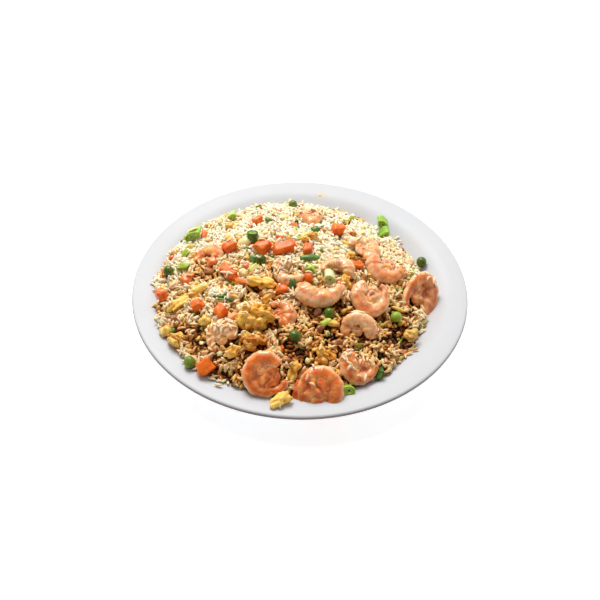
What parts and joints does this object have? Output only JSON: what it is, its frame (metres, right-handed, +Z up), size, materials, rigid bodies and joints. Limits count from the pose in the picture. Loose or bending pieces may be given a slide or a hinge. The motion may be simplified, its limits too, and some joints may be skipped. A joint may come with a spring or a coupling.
{
  "type": "plate of shrimp fried rice",
  "caption": "Round white plate heaped with fried rice, topped with curled shrimps, scrambled egg, carrot dice, green peas and cut scallions.",
  "frame": {"origin": "centre of the plate's foot ring, on the table surface", "axes": "+Z up along the plate's axis, -Y towards the near side of the dish, +X to its right"},
  "size_m": [0.28, 0.28, 0.0575],
  "materials": {
    "glazed_white": "glossy white glaze",
    "cooked_rice": "moist cooked rice with a thin coat of oil and soy, stands for food",
    "shrimp_flesh": "moist cooked shrimp, pale with orange bands",
    "carrot": "soft cooked carrot, moist",
    "pea_skin": "smooth green skin with a soft sheen",
    "scrambled_egg": "soft yellow curd, moist",
    "scallion": "fresh green leaf with pale inner side"
  },
  "bodies": {
    "root": {"plate": "glazed_white", "rice": "cooked_rice", "shrimp_01": "shrimp_flesh", "shrimp_02": "shrimp_flesh", "shrimp_03": "shrimp_flesh", "shrimp_04": "shrimp_flesh", "shrimp_05": "shrimp_flesh", "shrimp_06": "shrimp_flesh", "shrimp_07": "shrimp_flesh", "shrimp_08": "shrimp_flesh", "shrimp_09": "shrimp_flesh", "shrimp_10": "shrimp_flesh", "shrimp_11": "shrimp_flesh", "shrimp_12": "shrimp_flesh", "shrimp_13": "shrimp_flesh", "shrimp_14": "shrimp_flesh", "shrimp_15": "shrimp_flesh", "carrot_01": "carrot", "carrot_02": "carrot", "carrot_03": "carrot", "carrot_04": "carrot", "carrot_05": "carrot", "carrot_06": "carrot", "carrot_07": "carrot", "carrot_08": "carrot", "carrot_09": "carrot", "carrot_10": "carrot", "carrot_11": "carrot", "carrot_12": "carrot", "carrot_13": "carrot", "carrot_14": "carrot", "pea_01": "pea_skin", "pea_02": "pea_skin", "pea_03": "pea_skin", "pea_04": "pea_skin", "pea_05": "pea_skin", "pea_06": "pea_skin", "pea_07": "pea_skin", "pea_08": "pea_skin", "egg_01": "scrambled_egg", "egg_02": "scrambled_egg", "egg_03": "scrambled_egg", "egg_04": "scrambled_egg", "egg_05": "scrambled_egg", "egg_06": "scrambled_egg", "egg_07": "scrambled_egg", "egg_08": "scrambled_egg", "egg_09": "scrambled_egg", "egg_10": "scrambled_egg", "egg_11": "scrambled_egg", "egg_12": "scrambled_egg", "scallion_01": "scallion", "scallion_02": "scallion", "scallion_03": "scallion", "scallion_04": "scallion", "scallion_05": "scallion", "scallion_06": "scallion", "scallion_07": "scallion", "scallion_08": "scallion", "scallion_09": "scallion"}
  },
  "joints": []
}
